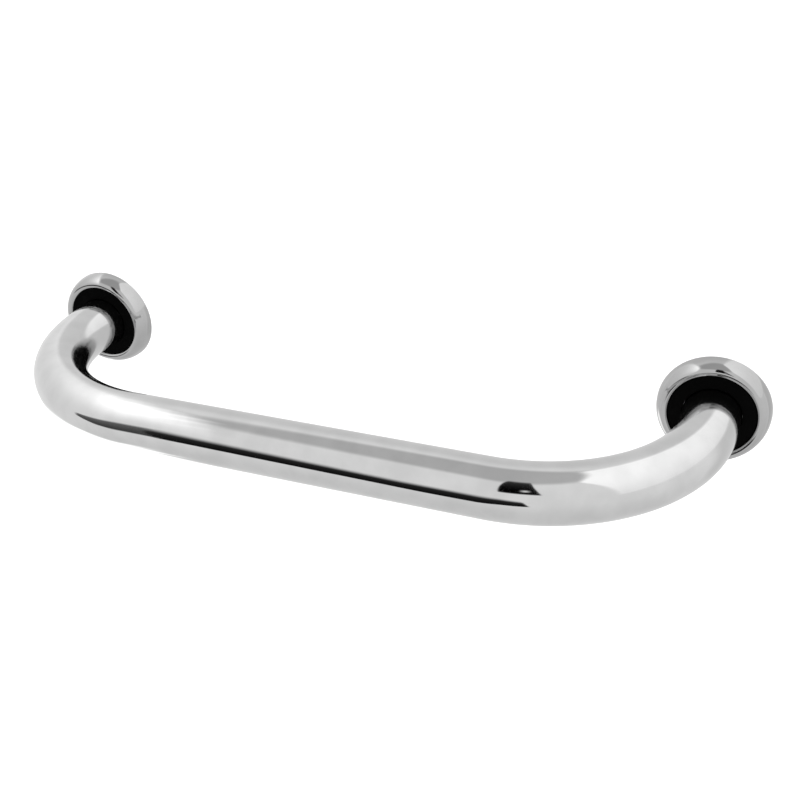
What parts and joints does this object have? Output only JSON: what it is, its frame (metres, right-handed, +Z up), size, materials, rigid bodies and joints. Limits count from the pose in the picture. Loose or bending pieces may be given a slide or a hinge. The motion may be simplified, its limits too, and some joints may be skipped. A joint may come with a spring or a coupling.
{
  "type": "grab rail",
  "caption": "Boat grab rail: a bent polished tube on two feet, with sliding domed rosettes over black bushes, bolted from behind the panel.",
  "frame": {"origin": "on the wall plane, midway between the two bolt holes", "axes": "+X along the bar to the right foot, +Y into the wall, +Z up"},
  "size_m": [0.3674, 0.1079, 0.05],
  "materials": {
    "polished_tube": "mirror polished",
    "polished_cover": "mirror polished",
    "turned_steel": "turned",
    "weld_metal": "as welded",
    "spring_steel": "rolled",
    "core_rubber": "moulded matt",
    "seal_rubber": "moulded satin",
    "gasket_rubber": "closed cell sheet"
  },
  "bodies": {
    "rail": {"rail_tube": "polished_tube", "end_boss_left": "turned_steel", "boss_weld_left": "weld_metal", "foot_seal_left": "seal_rubber", "end_boss_right": "turned_steel", "boss_weld_right": "weld_metal", "foot_seal_right": "seal_rubber"},
    "left_grip": {"grip_ring_left": "seal_rubber"},
    "left_rosette": {"rosette_cover_left": "polished_cover", "rosette_core_left": "core_rubber", "retaining_ring_left": "spring_steel", "wall_gasket_left": "gasket_rubber"},
    "right_grip": {"grip_ring_right": "seal_rubber"},
    "right_rosette": {"rosette_cover_right": "polished_cover", "rosette_core_right": "core_rubber", "retaining_ring_right": "spring_steel", "wall_gasket_right": "gasket_rubber"}
  },
  "joints": [
    {"name": "left_rosette_slide", "type": "slide", "parent": "rail", "child": "left_grip", "axis": [0, -1, 0], "range_m": [0, 0.014]},
    {"name": "left_rosette_turn", "type": "hinge", "parent": "left_grip", "child": "left_rosette", "pos_m": [-0.15875, 0, 0], "axis": [0, -1, 0], "continuous": true},
    {"name": "right_rosette_slide", "type": "slide", "parent": "rail", "child": "right_grip", "axis": [0, -1, 0], "range_m": [0, 0.014]},
    {"name": "right_rosette_turn", "type": "hinge", "parent": "right_grip", "child": "right_rosette", "pos_m": [0.15875, 0, 0], "axis": [0, -1, 0], "continuous": true}
  ]
}
